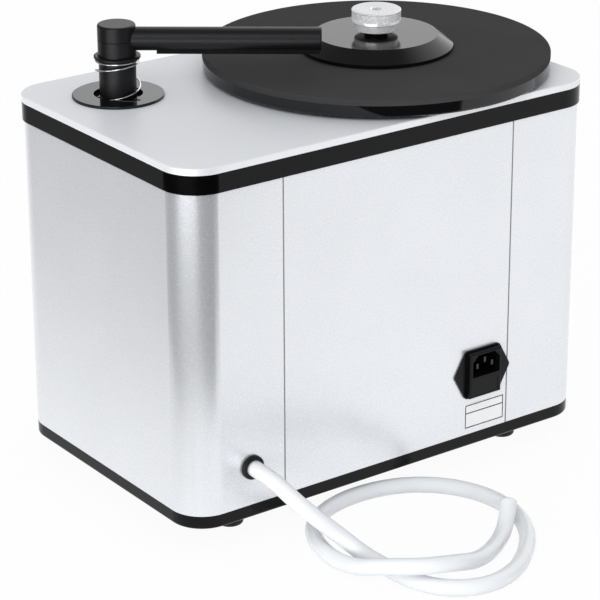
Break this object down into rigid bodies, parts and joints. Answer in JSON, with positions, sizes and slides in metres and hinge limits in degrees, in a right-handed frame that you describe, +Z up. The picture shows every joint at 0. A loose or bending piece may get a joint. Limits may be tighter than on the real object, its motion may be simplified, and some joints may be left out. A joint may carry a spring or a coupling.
{
  "type": "record cleaning machine",
  "caption": "Vacuum record cleaning machine: silver box with black frame, turning platter with clamp, sprung swinging suction arm, mains inlet and clear drain hose",
  "frame": {"origin": "On the floor under the middle of the machine, hose left out: the middle of the box that runs from the platter edge to the far side of the body, at the underside of the feet", "axes": "+Z up; +Y out of the back face, which carries the mains inlet and the drain hose; +X toward the side where the suction arm stands, -X toward the platter"},
  "size_m": [0.3802, 0.4136, 0.3416],
  "materials": {
    "silver_painted_steel": "fine-grained silver lacquer, satin",
    "brushed_top": "satin anodised with a bright chamfered rim",
    "black_frame": "satin black",
    "foot_rubber": "matt black",
    "zinc_screw": "zinc plated",
    "bare_aluminium": "bare",
    "zinc_sheet": "zinc plated sheet",
    "gloss_black_disc": "polished black",
    "black_anodised": "fine matt black anodising",
    "black_clamp": "turned, half gloss",
    "spring_wire": "bright wire",
    "felt": "black nap",
    "gloss_platter": "polished black",
    "mat_foam": "matt charcoal foam",
    "ground_steel": "ground",
    "turned_aluminium": "turned and knurled, bright",
    "black_plastic": "moulded, satin",
    "rocker_plastic": "moulded, gloss",
    "inlet_blade": "nickel plated brass",
    "grey_plastic": "moulded",
    "tank_plastic": "natural white, moulded",
    "clear_hose": "soft, milky and translucent",
    "bronze": "sintered bronze",
    "motor_case": "grey",
    "board_green": "laminate",
    "fuse_glass": "clear"
  },
  "bodies": {
    "housing": {"arm_escutcheon": "gloss_black_disc", "arm_guide_bush": "black_plastic", "back_panel": "silver_painted_steel", "base_plate": "black_frame", "base_screws": "zinc_screw", "bearing_bush": "bronze", "bearing_housing": "zinc_sheet", "control_board": "board_green", "corner_post_1": "bare_aluminium", "corner_post_2": "bare_aluminium", "corner_post_3": "bare_aluminium", "corner_post_4": "bare_aluminium", "deck_screws": "zinc_screw", "drain_hose": "clear_hose", "fan_mount": "foot_rubber", "foot_1": "foot_rubber", "foot_2": "foot_rubber", "foot_3": "foot_rubber", "foot_4": "foot_rubber", "foot_screws": "zinc_screw", "guide_bush_screws": "zinc_screw", "hose_grommet": "foot_rubber", "housing_shell": "silver_painted_steel", "inlet_housing": "black_plastic", "inlet_pins": "inlet_blade", "inlet_sleeve": "grey_plastic", "motor_bracket": "zinc_sheet", "motor_capacitor": "motor_case", "outlet_pipe": "grey_plastic", "platter_motor": "motor_case", "seam_rail_left": "zinc_sheet", "seam_rail_right": "zinc_sheet", "suction_duct": "grey_plastic", "suction_fan": "black_plastic", "switch_bezel_1": "black_plastic", "switch_bezel_2": "black_plastic", "tank_cradle": "grey_plastic", "top_frame": "black_frame", "top_plate": "brushed_top", "waste_tank": "tank_plastic"},
    "platter": {"platter": "gloss_platter", "platter_mat": "mat_foam", "spindle": "ground_steel", "shaft_coupling": "motor_case", "motor_shaft": "ground_steel"},
    "clamp": {"clamp_disc": "black_clamp", "clamp_seal": "foot_rubber"},
    "clamp_knob": {"clamp_knob": "turned_aluminium"},
    "arm_lift": {"lift_collar": "black_anodised", "lift_spring": "spring_wire"},
    "arm": {"arm_pillar": "black_anodised", "arm_head_cap": "black_anodised", "arm_tube": "black_anodised", "arm_end_plug": "black_anodised", "felt_strip_1": "felt", "felt_strip_2": "felt"},
    "motor_rocker": {"rocker_1": "rocker_plastic"},
    "fan_rocker": {"rocker_2": "rocker_plastic"},
    "fuse_drawer": {"fuse_drawer": "black_plastic", "fuse": "fuse_glass"}
  },
  "joints": [
    {"name": "platter_spin", "type": "hinge", "parent": "housing", "child": "platter", "pos_m": [-0.0599, 0, 0.2918], "axis": [0, 0, 1], "continuous": true},
    {"name": "clamp_lift", "type": "slide", "parent": "platter", "child": "clamp", "axis": [0, 0, 1], "range_m": [0, 0.028]},
    {"name": "knob_turn", "type": "hinge", "parent": "clamp", "child": "clamp_knob", "pos_m": [-0.0599, 0, 0.3171], "axis": [0, 0, 1], "range_deg": [0, 540]},
    {"name": "arm_press", "type": "slide", "parent": "housing", "child": "arm_lift", "axis": [0, 0, 1], "range_m": [-0.016, 0], "stiffness_N_per_m": 450, "springref_m": 0.008, "deforming": ["lift_spring"]},
    {"name": "arm_swing", "type": "hinge", "parent": "arm_lift", "child": "arm", "pos_m": [0.1327, -0.056, 0.3304], "axis": [0, 0, 1], "range_deg": [-52.8, 6.5]},
    {"name": "motor_switch", "type": "hinge", "parent": "housing", "child": "motor_rocker", "pos_m": [0.0776, -0.115, 0.2268], "axis": [1, 0, 0], "range_deg": [0, 16]},
    {"name": "fan_switch", "type": "hinge", "parent": "housing", "child": "fan_rocker", "pos_m": [0.1276, -0.115, 0.2268], "axis": [1, 0, 0], "range_deg": [0, 16]},
    {"name": "drawer_slide", "type": "slide", "parent": "housing", "child": "fuse_drawer", "axis": [0, 1, 0], "range_m": [0, 0.014]}
  ]
}
